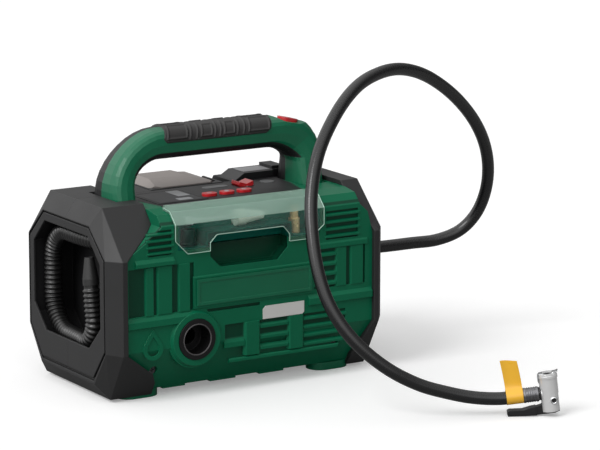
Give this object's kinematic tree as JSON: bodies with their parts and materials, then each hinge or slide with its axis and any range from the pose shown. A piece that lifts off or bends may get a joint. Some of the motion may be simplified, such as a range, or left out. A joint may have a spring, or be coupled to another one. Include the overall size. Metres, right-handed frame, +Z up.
{
  "type": "portable tire inflator",
  "caption": "Battery tyre inflator with carry handle, rubber end bumpers, clear storage lid, ribbed low-pressure hose in its bay and a pressure hose with a lever chuck.",
  "frame": {"origin": "on the standing surface under the middle of the body, between the two end bumpers", "axes": "+X along the body towards the end where the pressure hose leaves, -Y the front with the storage lid and the air port, +Z up"},
  "size_m": [0.462, 0.4095, 0.3001],
  "materials": {
    "body_green": "fine grained moulded plastic",
    "dark_plastic": "grained moulded plastic",
    "bumper_rubber": "soft grained over-moulded rubber",
    "black_plastic": "smooth moulded plastic",
    "grip_rubber": "soft ribbed rubber",
    "red_plastic": "satin moulded plastic",
    "display": "dark glossy window",
    "clear_lid": "clear moulded plastic",
    "steel": "plated",
    "chrome": "polished plating",
    "brass": "turned",
    "aluminium": "die cast",
    "white_plastic": "smooth",
    "grey_plastic": "smooth",
    "pack_grey": "fine grained moulded plastic",
    "pale_label": "printed foil, bare",
    "tag_yellow": "folded film",
    "board": "coated laminate",
    "hose_rubber": "smooth rubber",
    "ribbed_plastic": "flexible ribbed plastic"
  },
  "bodies": {
    "housing": {"front_shell": "body_green", "rear_shell": "dark_plastic", "hose_bumper_front": "bumper_rubber", "hose_bumper_rear": "bumper_rubber", "outlet_bumper_front": "bumper_rubber", "outlet_bumper_rear": "bumper_rubber", "hose_bay": "black_plastic", "outlet_bay": "black_plastic", "handle_front": "body_green", "handle_rear": "black_plastic", "handle_grip": "grip_rubber", "control_panel": "dark_plastic", "display_lens": "display", "rocker_pin": "steel", "panel_plate": "grey_plastic", "storage_tray": "body_green", "lid_hinge_pin": "steel", "cone_adapter": "white_plastic", "ball_needle": "steel", "brass_adapter": "brass", "mattress_adapter": "grey_plastic", "ribbed_hose": "ribbed_plastic", "hose_cuff": "grey_plastic", "port_ring": "black_plastic", "name_plate": "body_green", "level_label": "pale_label", "rear_housing": "dark_plastic", "rear_badge": "pale_label", "battery_contacts": "brass", "case_screws": "steel", "feet": "body_green", "circuit_board": "board", "pump_motor": "steel", "piston": "aluminium", "pump_cylinder": "aluminium", "pump_frame": "aluminium", "pressure_pipe": "brass", "blower_housing": "black_plastic", "blower_motor": "steel", "hose_grommet": "hose_rubber", "pressure_hose": "hose_rubber", "hose_ferrule": "black_plastic", "hose_tag": "tag_yellow", "chuck_body": "chrome", "chuck_pin": "steel"},
    "lid": {"storage_lid": "clear_lid"},
    "handle_button": {"handle_button": "red_plastic"},
    "minus_key": {"minus_button": "red_plastic"},
    "unit_key": {"unit_button": "red_plastic"},
    "plus_key": {"plus_button": "red_plastic"},
    "rocker": {"mode_rocker": "red_plastic"},
    "battery": {"battery_pack": "pack_grey"},
    "battery_latch": {"battery_latch": "red_plastic"},
    "lever": {"chuck_lever": "black_plastic"},
    "impeller": {"blower_impeller": "grey_plastic"},
    "crank": {"crank_gear": "white_plastic"},
    "pinion": {"motor_pinion": "brass"},
    "rod": {"connecting_rod": "steel", "wrist_pin": "steel"}
  },
  "joints": [
    {"name": "lid_hinge", "type": "hinge", "parent": "housing", "child": "lid", "pos_m": [0, -0.0591, 0.1742], "axis": [-1, 0, 0], "range_deg": [0, 100]},
    {"name": "handle_button_press", "type": "slide", "parent": "housing", "child": "handle_button", "axis": [-0.225, 0, -0.9744], "range_m": [0, 0.003], "stiffness_N_per_m": 300, "springref_m": -0.003},
    {"name": "minus_press", "type": "slide", "parent": "housing", "child": "minus_key", "axis": [0, 0, -1], "range_m": [0, 0.0012], "stiffness_N_per_m": 500, "springref_m": -0.001},
    {"name": "unit_press", "type": "slide", "parent": "housing", "child": "unit_key", "axis": [0, 0, -1], "range_m": [0, 0.0012], "stiffness_N_per_m": 500, "springref_m": -0.001},
    {"name": "plus_press", "type": "slide", "parent": "housing", "child": "plus_key", "axis": [0, 0, -1], "range_m": [0, 0.0012], "stiffness_N_per_m": 500, "springref_m": -0.001},
    {"name": "mode_rocker_tilt", "type": "hinge", "parent": "housing", "child": "rocker", "pos_m": [0.04, -0.002, 0.176], "axis": [0, 1, 0], "range_deg": [-8, 8]},
    {"name": "battery_slide", "type": "slide", "parent": "housing", "child": "battery", "axis": [0, 0, 1], "range_m": [0, 0.088]},
    {"name": "battery_latch_press", "type": "slide", "parent": "battery", "child": "battery_latch", "axis": [0, -1, 0], "range_m": [0, 0.003], "stiffness_N_per_m": 400, "springref_m": -0.002},
    {"name": "lever_swing", "type": "hinge", "parent": "housing", "child": "lever", "pos_m": [0.18442, -0.31095, 0.01613], "axis": [-0.5, -0.866, 0], "range_deg": [0, 90]},
    {"name": "impeller_spin", "type": "hinge", "parent": "housing", "child": "impeller", "pos_m": [-0.048, -0.043, 0.056], "axis": [0, 1, 0], "continuous": true},
    {"name": "crank_spin", "type": "hinge", "parent": "housing", "child": "crank", "pos_m": [0.028, -0.022, 0.0797], "axis": [1, 0, 0], "continuous": true},
    {"name": "pinion_spin", "type": "hinge", "parent": "housing", "child": "pinion", "pos_m": [0.028, -0.022, 0.05], "axis": [1, 0, 0], "continuous": true},
    {"name": "rod_level", "type": "hinge", "parent": "crank", "child": "rod", "pos_m": [0.021, -0.022, 0.0837], "axis": [1, 0, 0], "continuous": true}
  ],
  "couplings": [
    {"joint": "pinion_spin", "follows": "crank_spin", "ratio": -3.5},
    {"joint": "rod_level", "follows": "crank_spin", "ratio": -1}
  ]
}
